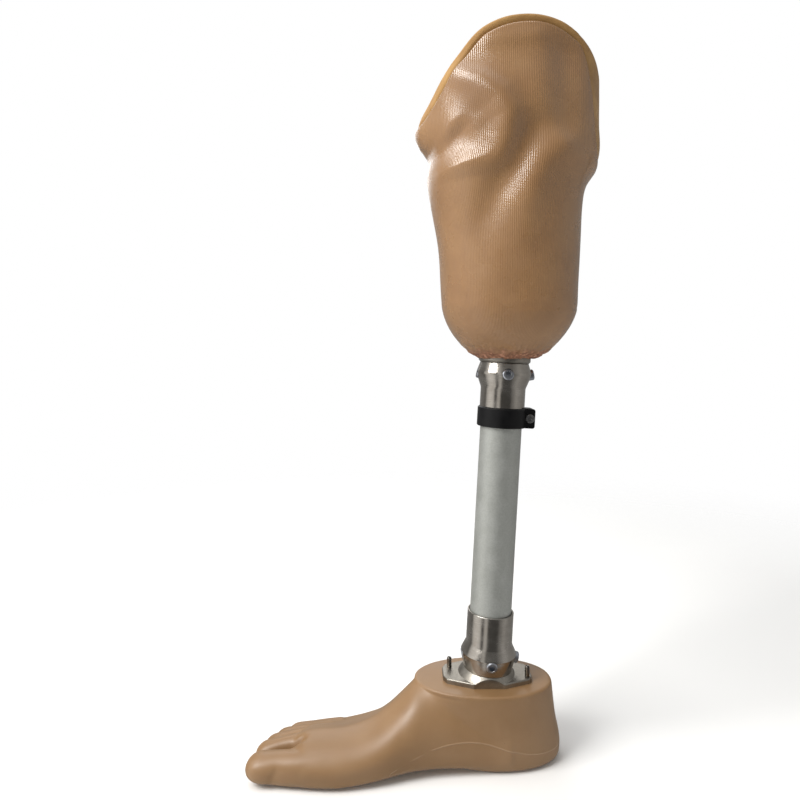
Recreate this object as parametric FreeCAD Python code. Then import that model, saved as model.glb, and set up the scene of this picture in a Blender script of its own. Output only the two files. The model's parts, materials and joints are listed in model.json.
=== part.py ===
import FreeCAD, Part

import math
import os

from FreeCAD import Placement, Rotation, Vector

# Right below-knee modular prosthesis. Millimetres and degrees.
# Origin on the floor under the foot bolt, +Z up, toes towards -X, inner (medial) side towards -Y.

# ---- driving dimensions -------------------------------------------------------------------
LEAN = 3.2                          # the pylon leans back from the ankle
ANKLE_BALL = Vector(0, 0, 44.4)     # centre of the lower spherical dome
BALL_SPACING = 256.0                # from the lower dome's centre to the upper one, along the pylon
BALL_RADIUS = 24.3
BALL_GAP = 0.3                      # between a dome and the receiver that sits on it

PYLON_RADIUS = 15.0
PYLON_WALL = 2.0
PYLON_LOW = 38.0                    # distances along the pylon from the lower dome's centre
PYLON_HIGH = 217.0
SLIDE_FIT = 0.06                    # radial running fit of sleeve on pylon and band on sleeve

MOUTH = 12.0                        # a receiver's open end, before its spherical seat is cut
RIM = 17.6
RIM_RADIUS = 17.7                   # its rim
RIDGE_RADIUS = 20.0                 # widest ring of a receiver
POCKET_RADIUS = 14.5                # room for the pyramid to tilt in
CUP_RADIUS = 16.7
CUP_TOP = 58.1
LOW_RIDGE = 28.4
LOW_NECK = 35.6
SLEEVE_RADIUS = 16.2
SLEEVE_LOW = 194.0
HIGH_RIDGE = BALL_SPACING - 24.4
HIGH_NECK = BALL_SPACING - 35.5

PYRAMID_NECK = 23.0                 # distances from the dome's centre along the pyramid
PYRAMID_TOP = 35.0
NECK_HALF = 4.8                     # half width across flats at the neck and at the top
TOP_HALF = 7.5
CORNER_RADIUS = 9.2
FACE_TILT = math.degrees(math.atan((TOP_HALF - NECK_HALF) / (PYRAMID_TOP - PYRAMID_NECK)))

SCREW_RADIUS = 4.0                  # M8 set screws
SCREW_FIT = 0.06
SCREW_HEIGHT = 27.85                # where each screw meets the pyramid's face
SCREW_TIP_GAP = 0.5
TIP_RADIUS = 2.0
SCREW_HEX = 4.0                     # across flats
SCREW_HEX_DEPTH = 4.0
LOW_SCREWS = {"anterior": 12.0, "posterior": 17.2, "medial": 14.0, "lateral": 14.0}   # lengths
HIGH_SCREWS = {"anterior": 13.6, "posterior": 15.6, "medial": 14.0, "lateral": 14.0}
LEAN_SHIFT = {"anterior": 1.55, "posterior": -1.55}     # the leaning pylon backs one screw out, the other in

BAND_INNER = SLEEVE_RADIUS + SLIDE_FIT
BAND_OUTER = 17.6
BAND_LOW = 192.7
BAND_HEIGHT = 14.2
BAND_GAP = 3.0
EAR_OUT = 23.3
EAR_HALF = 6.6
EAR_SCREW_X = 19.5                  # clamp screw, M4
CLAMP_SCREW_RADIUS = 2.0
CLAMP_HEAD_RADIUS = 3.25
CLAMP_HEAD_HEIGHT = 3.6
HEAD_DEPTH = 2.6                    # how far the head sinks into its ear
NUT_ACROSS = 6.4
NUT_HEIGHT = 3.1

PLATEAU = 54.0                      # top of the foot, under the adapter plate
PLATE_THICK = 3.4
PLATE_OUTLINE = [(32.0, 6.0), (29.5, 11.0), (11.0, 18.2)]   # one quarter of the eight-sided plate
PIN_RADIUS = 1.75
PIN_STANDS = 7.4
PIN_SUNK = 8.0
PINS = {"front_spring_pin": (-26.6, 6.0), "rear_spring_pin": (28.6, -7.0)}
PIN_SLOT = 0.8

BOLT_RADIUS = 5.0                   # M10 foot bolt
BOLT_HEAD_RADIUS = 8.0
BOLT_HEAD_HEIGHT = 10.0
BOLT_HEX = 8.0
WASHER_RADIUS = 9.5
WASHER_THICK = 2.0
BOLT_SEAT = 22.0                    # height of the bearing face inside the keel
BOLT_TOP = 63.0
ACCESS_RADIUS = 10.5                # hole in the sole for the bolt head and its key
KEEL_HALF = 20.0
KEEL_PLAN = [(34, -20), (34, 20), (-25, 20), (-38, 15.5), (-52, 14), (-72, 12), (-99, 3),
             (-99, -20), (-52, -19), (-38, -15.5), (-25, -20)]

TOE_AXIS_X = -112.0                 # where the forefoot bends
TOE_AXIS_Z = 12.0
KNUCKLE_RADIUS = 13.2
KNUCKLE_GAP = 0.4
TOE_UP = 25.0                       # largest bend of the toes

SOCKET_LOW = 286.6                  # cut end of the laminate
SHELL_WALL = 3.4
BUILD_UP = 3.0                      # extra laminate over the anchor's arms
LINER_WALL = 5.5
GLUE_GAP = 0.15
CAVITY_LOW = 291.5
LINER_LOW = 305.0
PAD_TOP = 334.0
PAD_DISH = 60.0                     # radius of the hollow in the pad's top, 8 deep
CAP_LOW = 281.0                     # height of the point where the socket's rounded end would close
CAP_POWER = 1.8
SHOULDER = 327.6                    # above this height the socket no longer tapers to its end
ARM_WIDTH = 12.0
ARM_IN = 2.0                        # depth of an arm's outer face under the laminate's surface
ARM_OUT = 4.2
ARM_TOP = 336.0
FLANGE_RADIUS = 18.7

# ---- outlines of the socket: height against front, back and half width ----------------------
FRONT = [(327.6, -32.5), (369, -35.2), (404, -41.5), (417, -43.0), (430, -41.4), (475, -44), (516, -45)]
BACK = [(327.6, 64.2), (369, 65.8), (398, 67.8), (409, 70.5), (421, 78),
        (433, 81), (450, 80.5), (475, 81), (516, 83)]
HALF_WIDTH = [(327.6, 46.5), (350, 48.5), (392, 50.5), (421, 52.5),
              (445, 54.5), (465, 53.5), (490, 49.5), (516, 47.5)]
KNEECAP = [(429, 0), (438, 6.0), (447, 9.8), (456, 8.0), (466, 3.5), (478, 0)]
KNEECAP_SPREAD = 21.0
MIDDLE_X = 16.0
SECTION_POWER = 2.35

# side view of the two upper edges: position against height
SHELL_TRIM = [(-62, 450), (-47, 458), (-29, 479), (-7, 502), (26, 509),
              (56, 498.5), (64, 486.5), (69, 462), (73.5, 438), (84, 420)]
LINER_TRIM = [(-64, 452), (-49, 461), (-34, 480), (-10, 505), (26, 513),
              (59, 503), (77, 484), (83, 463), (96, 438)]

# ---- outlines of the foot along its length ---------------------------------------------------
MEDIAL = [(20, -29.5), (-20, -31.5), (-50, -35), (-80, -42.5),
          (-105, -46), (-130, -45), (-150, -42.5), (-161, -38)]
LATERAL = [(20, 29.5), (-20, 30), (-60, 31), (-105, 30),
           (-125, 27), (-140, 19), (-152, 7), (-161, -8)]
DORSUM = [(20, 54), (-45, 54), (-53, 52), (-60, 46), (-71, 37), (-83, 30.4),
          (-97, 26.5), (-125, 25), (-150, 21.5), (-161, 17.5)]
SOLE = [(20, 0), (-12, 1.0), (-35, 2.2), (-60, 1.8), (-80, 0.6), (-100, 0), (-138, 0), (-150, 0.8), (-161, 3)]
TOE_END_X = -168.0
TOE_END_Y = -27.0
OUTER_SLOPE = 0.34                  # the top of the foot falls away towards the little toe


def smooth(points, at):
    """Cubic curve through (position, value) points, flat-sloped past both ends."""
    points = sorted(points)
    if at <= points[0][0]:
        return points[0][1]
    if at >= points[-1][0]:
        return points[-1][1]
    slopes = []
    for index in range(len(points)):
        before = points[max(index - 1, 0)]
        after = points[min(index + 1, len(points) - 1)]
        slopes.append((after[1] - before[1]) / (after[0] - before[0]))
    index = max(i for i in range(len(points) - 1) if points[i][0] <= at)
    (x0, y0), (x1, y1) = points[index], points[index + 1]
    span = x1 - x0
    t = (at - x0) / span
    start = (2 * t**3 - 3 * t**2 + 1) * y0 + (t**3 - 2 * t**2 + t) * span * slopes[index]
    end = (3 * t**2 - 2 * t**3) * y1 + (t**3 - t**2) * span * slopes[index + 1]
    return start + end


def signed_power(value, power):
    return math.copysign(abs(value) ** power, value)


def closed_curve(points):
    curve = Part.BSplineCurve()
    curve.interpolate(Points=points, PeriodicFlag=True)
    return Part.Wire([curve.toShape()])


def turned(profile):
    """Solid of revolution about Z from (radius, height) points."""
    points = [Vector(radius, 0, height) for radius, height in profile]
    wire = Part.makePolygon(points + [points[0]])
    return Part.Face(wire).revolve(Vector(0, 0, 0), Vector(0, 0, 1), 360)


def cylinder(radius, low, high, x=0.0, y=0.0):
    return Part.makeCylinder(radius, high - low, Vector(x, y, low))


def block(low, high):
    size = Vector(*high) - Vector(*low)
    return Part.makeBox(size.x, size.y, size.z, Vector(*low))


def hexagon(across_flats, low, high):
    corners = []
    for index in range(7):
        angle = math.radians(60 * index)
        corners.append(Vector(math.cos(angle), math.sin(angle), 0) * (across_flats / math.sqrt(3)))
    wire = Part.makePolygon(corners)
    wire.translate(Vector(0, 0, low))
    return Part.Face(wire).extrude(Vector(0, 0, high - low))


def on_pylon(shape):
    """Places a shape made along Z, from the lower dome's centre, on the leaning pylon."""
    placed = shape.copy()
    placed.Placement = Placement(ANKLE_BALL, Rotation(Vector(0, 1, 0), LEAN)).multiply(placed.Placement)
    return placed


def turned_down(shape):
    """Turns a shape made upwards from a dome's centre to hang from the upper dome's centre."""
    placed = shape.copy()
    flip = Placement(Vector(0, 0, BALL_SPACING), Rotation(Vector(1, 0, 0), 180))
    placed.Placement = flip.multiply(placed.Placement)
    return placed


def rounded(solid, radius, chosen):
    """Fillets the edges for which chosen(centre, edge) is true."""
    edges = [edge for edge in solid.Edges if chosen(edge.CenterOfMass, edge)]
    return solid.makeFillet(radius, edges) if edges else solid


def male_pyramid():
    """Four-sided pyramid, wider at its top, on a round neck out of the dome."""
    wires = []
    for half, height in ((NECK_HALF, PYRAMID_NECK), (TOP_HALF, PYRAMID_TOP)):
        signs = ((1, 1), (-1, 1), (-1, -1), (1, -1), (1, 1))
        corners = [Vector(half * a, half * b, height) for a, b in signs]
        wires.append(Part.makePolygon(corners))
    frustum = Part.makeLoft(wires, True, True)
    return frustum.common(cylinder(CORNER_RADIUS, PYRAMID_NECK - 1, PYRAMID_TOP + 1))


def screw_frame(side):
    """Placement of a set screw: local +Z points outwards, its origin is on the pyramid's face."""
    turn = {"posterior": 0, "lateral": 90, "anterior": 180, "medial": 270}[side]
    reach = NECK_HALF + (SCREW_HEIGHT - PYRAMID_NECK) * math.tan(math.radians(FACE_TILT))
    tilt = Placement(Vector(reach, 0, SCREW_HEIGHT), Rotation(Vector(0, 1, 0), 90 + FACE_TILT))
    return Placement(Vector(0, 0, 0), Rotation(Vector(0, 0, 1), turn)).multiply(tilt)


def set_screw(side, length, shift=0.0):
    body = turned([(0, 0), (TIP_RADIUS, 0), (SCREW_RADIUS - 0.7, 1.6), (SCREW_RADIUS, 2.3),
                   (SCREW_RADIUS, length - 0.6), (SCREW_RADIUS - 0.6, length), (0, length)])
    body = body.cut(hexagon(SCREW_HEX, length - SCREW_HEX_DEPTH, length + 1))
    body.translate(Vector(0, 0, SCREW_TIP_GAP + shift))
    body.Placement = screw_frame(side).multiply(body.Placement)
    return body


def screw_holes():
    hole = cylinder(SCREW_RADIUS + SCREW_FIT, -2, 30)
    holes = []
    for side in LOW_SCREWS:
        placed = hole.copy()
        placed.Placement = screw_frame(side)
        holes.append(placed)
    return holes


def receiver(profile):
    """Female part: spherical seat, round pocket and four inclined screw holes."""
    body = turned(profile)
    seat = Part.makeSphere(BALL_RADIUS + BALL_GAP)
    holes = [hole.common(cylinder(40, 5, 60)) for hole in screw_holes()]
    return body.cut([seat] + holes)


def tube_adapter():
    stop = POCKET_RADIUS - 1.5
    profile = [(POCKET_RADIUS, MOUTH), (RIM_RADIUS - 0.3, MOUTH), (RIM_RADIUS, RIM),
               (RIDGE_RADIUS - 0.25, LOW_RIDGE - 0.9), (RIDGE_RADIUS, LOW_RIDGE),
               (RIDGE_RADIUS - 0.3, LOW_RIDGE + 0.8), (CUP_RADIUS + 0.2, LOW_NECK - 0.6),
               (CUP_RADIUS, LOW_NECK + 0.4), (CUP_RADIUS, CUP_TOP - 0.4), (CUP_RADIUS - 0.4, CUP_TOP),
               (PYLON_RADIUS + 0.7, CUP_TOP), (PYLON_RADIUS, CUP_TOP - 1.6), (PYLON_RADIUS, PYLON_LOW),
               (stop, PYLON_LOW), (stop, PYLON_LOW - 2), (POCKET_RADIUS, PYLON_LOW - 3)]
    return on_pylon(receiver(profile))


def clamp_adapter():
    """Upper receiver with a split sleeve that grips the pylon."""
    bore = PYLON_RADIUS + SLIDE_FIT
    neck = BALL_SPACING - HIGH_NECK
    ridge = BALL_SPACING - HIGH_RIDGE
    end = BALL_SPACING - SLEEVE_LOW
    profile = [(POCKET_RADIUS, MOUTH), (RIM_RADIUS - 0.3, MOUTH), (RIM_RADIUS, RIM),
               (RIDGE_RADIUS - 0.25, ridge - 0.9), (RIDGE_RADIUS, ridge),
               (RIDGE_RADIUS - 0.2, ridge + 1.2), (SLEEVE_RADIUS + 0.3, neck - 1.2),
               (SLEEVE_RADIUS, neck), (SLEEVE_RADIUS, end), (bore, end), (bore, neck - 3.0),
               (POCKET_RADIUS, neck - 3.5)]
    body = receiver(profile)
    slit_top = neck + 3
    slit = block((5, -BAND_GAP / 2, slit_top), (30, BAND_GAP / 2, end + 1))
    slit_end = Part.makeCylinder(2.4, 25, Vector(5, 0, slit_top), Vector(1, 0, 0))
    return on_pylon(turned_down(body.cut([slit, slit_end])))


def pylon_tube():
    outer = cylinder(PYLON_RADIUS, PYLON_LOW, PYLON_HIGH)
    tube = outer.cut(cylinder(PYLON_RADIUS - PYLON_WALL, PYLON_LOW - 1, PYLON_HIGH + 1))
    return on_pylon(tube)


def clamp_band():
    high = BAND_LOW + BAND_HEIGHT
    ring = turned([(BAND_INNER, BAND_LOW), (BAND_OUTER - 0.5, BAND_LOW), (BAND_OUTER, BAND_LOW + 0.5),
                   (BAND_OUTER, high - 0.9), (BAND_OUTER - 0.9, high), (BAND_INNER, high)])
    ears = block((BAND_INNER - 2, -EAR_HALF, BAND_LOW), (EAR_OUT, EAR_HALF, high))
    ears = rounded(ears, 1.8, lambda centre, edge: centre.x > EAR_OUT - 0.1 and abs(centre.y) < 0.1)
    ears = ears.cut(cylinder(BAND_INNER + 0.4, BAND_LOW - 1, high + 1))
    band = ring.fuse(ears).removeSplitter()
    middle = BAND_LOW + BAND_HEIGHT / 2
    gap = block((10, -BAND_GAP / 2, BAND_LOW - 1), (40, BAND_GAP / 2, high + 1))
    hole = Part.makeCylinder(CLAMP_SCREW_RADIUS + 0.1, 40, Vector(EAR_SCREW_X, -20, middle), Vector(0, 1, 0))
    seat = Vector(EAR_SCREW_X, HEAD_DEPTH - EAR_HALF, middle)
    sink = Part.makeCylinder(CLAMP_HEAD_RADIUS + 0.25, 20, seat, Vector(0, -1, 0))
    nut_slot = hexagon(NUT_ACROSS + 0.2, EAR_HALF - NUT_HEIGHT - 0.1, EAR_HALF + 1)
    nut_slot.Placement = Placement(Vector(EAR_SCREW_X, 0, middle), Rotation(Vector(1, 0, 0), -90))
    return on_pylon(band.cut([gap, hole, sink, nut_slot]))


def clamp_screw():
    """Cap screw through both ears, head on the inner side of the leg."""
    middle = BAND_LOW + BAND_HEIGHT / 2
    length = 2 * EAR_HALF - HEAD_DEPTH
    shank = turned([(0, 0), (CLAMP_SCREW_RADIUS, 0), (CLAMP_SCREW_RADIUS, length - 0.4),
                    (CLAMP_SCREW_RADIUS - 0.4, length), (0, length)])
    head = turned([(0, -CLAMP_HEAD_HEIGHT), (CLAMP_HEAD_RADIUS - 0.4, -CLAMP_HEAD_HEIGHT),
                   (CLAMP_HEAD_RADIUS, 0.4 - CLAMP_HEAD_HEIGHT), (CLAMP_HEAD_RADIUS, 0), (0, 0)])
    key = hexagon(3.0, -CLAMP_HEAD_HEIGHT - 1, 2.2 - CLAMP_HEAD_HEIGHT)
    screw = shank.fuse(head).removeSplitter().cut(key)
    seat = Vector(EAR_SCREW_X, HEAD_DEPTH - EAR_HALF, middle)
    screw.Placement = Placement(seat, Rotation(Vector(1, 0, 0), -90))
    return on_pylon(screw)


def clamp_nut():
    middle = BAND_LOW + BAND_HEIGHT / 2
    nut = hexagon(NUT_ACROSS, EAR_HALF - NUT_HEIGHT - 0.1, EAR_HALF - 0.1)
    nut = nut.cut(cylinder(CLAMP_SCREW_RADIUS, 0, 20))
    nut.Placement = Placement(Vector(EAR_SCREW_X, 0, middle), Rotation(Vector(1, 0, 0), -90))
    return on_pylon(nut)


def plate_prism(low, high):
    quarter = PLATE_OUTLINE
    corners = quarter + [(-x, y) for x, y in reversed(quarter)]
    corners += [(-x, -y) for x, y in quarter] + [(x, -y) for x, y in reversed(quarter)]
    wire = Part.makePolygon([Vector(x, y, low) for x, y in corners + corners[:1]])
    return Part.Face(wire).extrude(Vector(0, 0, high - low))


def foot_adapter():
    """Eight-sided plate, spherical dome and male pyramid, cast in one."""
    top = PLATEAU + PLATE_THICK
    plate = plate_prism(PLATEAU, top)
    plate = rounded(plate, 0.9, lambda centre, edge: abs(centre.z - top) < 0.01)
    dome = Part.makeSphere(BALL_RADIUS, ANKLE_BALL).common(plate_prism(top - 1.0, top + 40))
    pyramid = male_pyramid()
    pyramid.translate(ANKLE_BALL)
    body = plate.fuse([dome, pyramid]).removeSplitter()
    cuts = [cylinder(BOLT_RADIUS + 0.1, PLATEAU - 1, BOLT_TOP + 1.5)]
    for x, y in PINS.values():
        cuts.append(cylinder(PIN_RADIUS, PLATEAU - 1, top + 1, x, y))
    return body.cut(cuts)


def spring_pin(x, y):
    """Rolled pin with a slot down its side."""
    low = PLATEAU - PIN_SUNK
    high = PLATEAU + PLATE_THICK + PIN_STANDS
    pin = turned([(PIN_RADIUS - 0.7, low), (PIN_RADIUS - 0.3, low), (PIN_RADIUS, low + 0.8),
                  (PIN_RADIUS, high - 0.8), (PIN_RADIUS - 0.4, high), (PIN_RADIUS - 0.7, high)])
    pin = pin.cut(block((0, -PIN_SLOT / 2, low - 1), (PIN_RADIUS + 1, PIN_SLOT / 2, high + 1)))
    pin.rotate(Vector(0, 0, 0), Vector(0, 0, 1), -60)
    pin.translate(Vector(x, y, 0))
    return pin


def foot_bolt():
    """Cap screw with its head in the keel and its thread in the adapter plate."""
    head_low = BOLT_SEAT - 2 * WASHER_THICK - BOLT_HEAD_HEIGHT
    head_high = BOLT_SEAT - 2 * WASHER_THICK
    bolt = turned([(0, head_low), (BOLT_HEAD_RADIUS - 0.6, head_low), (BOLT_HEAD_RADIUS, head_low + 0.6),
                   (BOLT_HEAD_RADIUS, head_high), (BOLT_RADIUS, head_high), (BOLT_RADIUS, BOLT_TOP - 1),
                   (BOLT_RADIUS - 1, BOLT_TOP), (0, BOLT_TOP)])
    return bolt.cut(hexagon(BOLT_HEX, head_low - 1, head_low + 5.5))


def washer(low, radius, teeth):
    """Plain washer, or a toothed lock washer when teeth is more than zero."""
    ring = cylinder(radius, low, low + WASHER_THICK).cut(cylinder(BOLT_RADIUS + 0.2, low - 1, low + 4))
    notches = []
    for index in range(teeth):
        notch = block((radius - 1.2, -0.6, low - 1), (radius + 1, 0.6, low + 4))
        notch.rotate(Vector(0, 0, 0), Vector(0, 0, 1), 360 * index / teeth)
        notches.append(notch)
    return ring.cut(notches) if notches else ring


# ---- foot -------------------------------------------------------------------------------------
def foot_section(x):
    """Closed outline of the forefoot across its length: flat sole, higher inner side."""
    inner = smooth(MEDIAL, x)
    outer = smooth(LATERAL, x)
    low = smooth(SOLE, x)
    high = smooth(DORSUM, x)
    middle = (inner + outer) / 2
    half = (outer - inner) / 2
    forward = min(max((-x - 55) / 50, 0), 1)
    widest = low + 6.5 + 9 * (1 - forward)
    ridge = middle - 8.0 * forward * half / 37
    points = []
    for index in range(16):
        angle = 2 * math.pi * (index + 0.5) / 16
        side = math.cos(angle)
        rise = math.sin(angle)
        if rise < 0:
            y = middle + half * signed_power(side, 0.45)
            z = widest + (widest - low) * signed_power(rise, 0.55)
        else:
            y = middle + half * signed_power(side, 0.95) + (ridge - middle) * rise
            peak = high - OUTER_SLOPE * max(y - ridge, 0)
            z = widest + (max(peak, widest) - widest) * rise
        points.append(Vector(x, y, z))
    return closed_curve(points)


def toe_end_section(share, x):
    """Sections that close the toes, shrinking towards the big toe's tip."""
    low = 1.5 + 5.0 * share
    high = 17.0 - 6.0 * share
    half = 12.5 - 6.0 * share
    points = []
    for index in range(16):
        angle = 2 * math.pi * (index + 0.5) / 16
        y = TOE_END_Y + 2.0 * (1 - share) + half * math.cos(angle)
        points.append(Vector(x, y, (low + high) / 2 + (high - low) / 2 * math.sin(angle)))
    return closed_curve(points)


def column_section(z, inset):
    """Plan outline of the ankle and heel at one height."""
    back = smooth([(0, 53.3), (15, 52.6), (30, 49.6), (54, 47.0)], z) - inset
    front = smooth([(0, -44), (30, -48), (46, -51.4), (54, -51.6)], z) + inset
    half = smooth([(0, 28.5), (20, 29.5), (54, 29.5)], z) - inset
    middle = (back + front) / 2
    points = []
    for index in range(20):
        angle = 2 * math.pi * index / 20
        power = 0.92 if math.cos(angle) > 0 else 1.0
        x = middle + (back - front) / 2 * signed_power(math.cos(angle), power)
        points.append(Vector(x, half * signed_power(math.sin(angle), power), z))
    return closed_curve(points)


def whole_foot():
    stations = [12, -10, -35, -47, -56, -64, -73, -84, -97, -112, -126, -140, -151, -159]
    sections = [foot_section(x) for x in stations]
    sections += [toe_end_section(0.3, -165.5), toe_end_section(1.0, TOE_END_X)]
    forefoot = Part.makeLoft(sections, True, True)
    levels = [(0, 5.0), (1.6, 2.0), (5, 0.4), (14, 0), (28, 0), (42, 0), (PLATEAU, 0)]
    column = Part.makeLoft([column_section(z, inset) for z, inset in levels], True, True)
    foot = forefoot.fuse(column)
    return foot.common(block((-200, -80, 0), (100, 80, PLATEAU)))


def side_prism(outline, half_width):
    """Side outline in X and Z pulled out to both sides along Y."""
    points = [Vector(x, -half_width, z) for x, z in outline]
    face = Part.Face(Part.makePolygon(points + points[:1]))
    return face.extrude(Vector(0, 2 * half_width, 0))


def keel():
    """Stiff core: under the ankle plateau and forward to the ball of the foot."""
    outline = [(30, 49), (-38, 49), (-52, 38), (-72, 24), (-96, 17), (-99, 11), (-60, 12), (-8, 13), (36, 31)]
    body = side_prism(outline, KEEL_HALF)
    body = body.common(rounded_core(-120, 34, 14)).common(plan_prism(KEEL_PLAN))
    cuts = [cylinder(BOLT_RADIUS + 0.4, 0, 60), cylinder(ACCESS_RADIUS, 0, BOLT_SEAT)]
    for x, y in PINS.values():
        cuts.append(cylinder(PIN_RADIUS, PLATEAU - PIN_SUNK, 60, x, y))
    return body.cut(cuts)


def rounded_core(front, back, radius):
    """Block as wide as the keel, with both upright edges at its heel end rounded."""
    core = block((front, -KEEL_HALF, 0), (back, KEEL_HALF, 80))
    return rounded(core, radius, lambda centre, edge: centre.x > back - 1 and abs(centre.z - 40) < 1)


def heel_cushion():
    """Soft wedge between the keel and the sole under the heel."""
    outline = [(-8, 12.6), (36, 30.6), (43, 27), (43, 7), (18, 6.5)]
    body = side_prism(outline, KEEL_HALF).common(rounded_core(-20, 43, 13))
    return body.cut(cylinder(ACCESS_RADIUS + 0.5, -1, 60))


def toe_belting():
    """Fabric belt bonded under the keel, carrying the load forward."""
    return block((-116, -17, 9.0), (-24, 17, 10.4))


def plan_prism(outline):
    """Plan outline in X and Y pulled upwards."""
    points = [Vector(x, y, -10) for x, y in outline]
    return Part.Face(Part.makePolygon(points + points[:1])).extrude(Vector(0, 0, 100))


def toe_cylinder(radius):
    return Part.makeCylinder(radius, 240, Vector(TOE_AXIS_X, -120, TOE_AXIS_Z), Vector(0, 1, 0))


def forefoot_region(gap):
    """Space in front of the toe axis that bends up with the toes."""
    ahead = block((-260, -120, -40), (TOE_AXIS_X, 120, 120))
    knuckle = toe_cylinder(KNUCKLE_RADIUS + gap)
    axis = Vector(TOE_AXIS_X, -120, TOE_AXIS_Z)
    above = axis + Vector(0, 0, 80)
    forward = above - Vector(80 * math.tan(math.radians(TOE_UP + 3)), 0, 0)
    wedge = Part.Face(Part.makePolygon([axis, above, forward, axis])).extrude(Vector(0, 240, 0))
    return ahead.cut([knuckle, wedge])


def foot_parts():
    foot = whole_foot()
    core = keel()
    cushion = heel_cushion()
    belt = toe_belting()
    ahead = block((-260, -120, -40), (TOE_AXIS_X, 120, 120))
    rear = foot.cut(ahead.cut(toe_cylinder(KNUCKLE_RADIUS)))
    hollows = [core, cushion, belt]
    hollows += [cylinder(ACCESS_RADIUS, -1, BOLT_SEAT), cylinder(BOLT_RADIUS + 0.4, 10, 80)]
    for x, y in PINS.values():
        hollows.append(cylinder(PIN_RADIUS, PLATEAU - PIN_SUNK, 80, x, y))
    return {
        "foot_foam": rear.cut(hollows),
        "forefoot_foam": foot.common(forefoot_region(KNUCKLE_GAP)),
        "keel": core,
        "heel_cushion": cushion,
        "toe_belting": belt,
    }


# ---- socket -----------------------------------------------------------------------------------
def limb_section(z, inset, cap_low):
    """Closed outline of the socket at one height, moved inwards by inset."""
    shrink = 1.0
    shoulder = SHOULDER + (cap_low - CAP_LOW)
    if z < shoulder:
        depth = (shoulder - z) / (shoulder - cap_low)
        shrink = (1 - depth**CAP_POWER) ** (1 / CAP_POWER)
    middle = MIDDLE_X - 2.0 * (1 - shrink)
    back = (smooth(BACK, z) - MIDDLE_X) * shrink - inset
    front = (MIDDLE_X - smooth(FRONT, z)) * shrink - inset
    half = smooth(HALF_WIDTH, z) * shrink - inset
    bulge = smooth(KNEECAP, z)
    points = []
    for index in range(28):
        angle = 2 * math.pi * index / 28
        reach = back if math.cos(angle) > 0 else front
        x = middle + reach * signed_power(math.cos(angle), 2 / SECTION_POWER)
        y = half * signed_power(math.sin(angle), 2 / SECTION_POWER)
        if math.cos(angle) < 0:
            x -= bulge * math.exp(-((y / KNEECAP_SPREAD) ** 2))
        points.append(Vector(x, y, z))
    return closed_curve(points)


def limb(inset, low, high, cap_low=CAP_LOW):
    """Solid bounded by the socket's surface moved inwards, from low to high."""
    levels = [289.5, 293, 298, 304, 311, 319, 328, 338, 350, 366, 384, 400]
    levels += [408, 415, 422, 429, 436, 443, 450, 458, 467, 478, 490, 502]
    levels = [low] + [z for z in levels if low + 1.5 < z < high - 1.5] + [high]
    wires = [limb_section(z, inset(z), cap_low) for z in levels]
    return Part.makeLoft(wires, True, True)


def shell_wall(z):
    share = min(max((350 - z) / 25, 0), 1)
    return SHELL_WALL + BUILD_UP * share * share * (3 - 2 * share)


def below_trim(line):
    """Everything under a trim line drawn from the side."""
    curve = Part.BSplineCurve()
    curve.interpolate([Vector(x, 0, z) for x, z in line])
    start = curve.StartPoint
    end = curve.EndPoint
    corners = [end, Vector(end.x, 0, 200), Vector(start.x, 0, 200), start]
    edges = [curve.toShape()]
    edges += [Part.LineSegment(a, b).toShape() for a, b in zip(corners, corners[1:])]
    face = Part.Face(Part.Wire(edges))
    face.translate(Vector(0, -90, 0))
    return face.extrude(Vector(0, 180, 0))


def socket_anchor():
    """Lamination anchor: pyramid and dome below, four arms laminated into the shell above."""
    dome = Part.makeSphere(BALL_RADIUS).common(cylinder(FLANGE_RADIUS, 11.5, 40))
    flange = cylinder(FLANGE_RADIUS, 9.0, 12.0)
    lower = on_pylon(turned_down(dome.fuse([flange, male_pyramid()])))
    ribbon = limb(lambda z: ARM_IN, 287.8, ARM_TOP).cut(limb(lambda z: ARM_OUT, 287.0, ARM_TOP + 1))
    hub = on_pylon(turned_down(cylinder(FLANGE_RADIUS + 3.2, 8.6, 11.4)))
    middle = MIDDLE_X - 1.2
    cross = block((-60, -ARM_WIDTH / 2, 280), (100, ARM_WIDTH / 2, 400))
    cross = cross.fuse(block((middle - ARM_WIDTH / 2, -80, 280), (middle + ARM_WIDTH / 2, 80, 400)))
    arms = ribbon.common(cross)
    return lower.fuse([hub.common(limb(lambda z: ARM_IN, 287.0, ARM_TOP)), arms]).removeSplitter()


def socket_parts():
    anchor = socket_anchor()
    outer = limb(lambda z: 0.0, SOCKET_LOW, 516)
    cavity = limb(shell_wall, CAVITY_LOW, 518)
    shell = outer.cut(cavity).common(below_trim(SHELL_TRIM)).cut(anchor)
    liner_out = limb(lambda z: shell_wall(z) + GLUE_GAP, LINER_LOW + 1.6, 516, LINER_LOW)
    inside = LINER_LOW + 6.5
    liner_in = limb(lambda z: shell_wall(z) + GLUE_GAP + LINER_WALL, inside + 2.0, 518, inside)
    liner = liner_out.cut(liner_in).common(below_trim(LINER_TRIM))
    filler = cavity.common(block((-100, -100, 280), (120, 100, 316)))
    filler = filler.cut([limb(shell_wall, LINER_LOW + 1.4, 330, LINER_LOW), anchor])
    pad = limb(lambda z: shell_wall(z) + 2 * GLUE_GAP + LINER_WALL, inside + 2.2, PAD_TOP, inside)
    pad = pad.cut(Part.makeSphere(PAD_DISH, Vector(MIDDLE_X, 0, PAD_TOP + PAD_DISH - 8)))
    return {
        "socket_anchor": anchor,
        "socket_shell": shell,
        "foam_liner": liner,
        "distal_filler": filler,
        "distal_end_pad": pad,
    }


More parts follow.
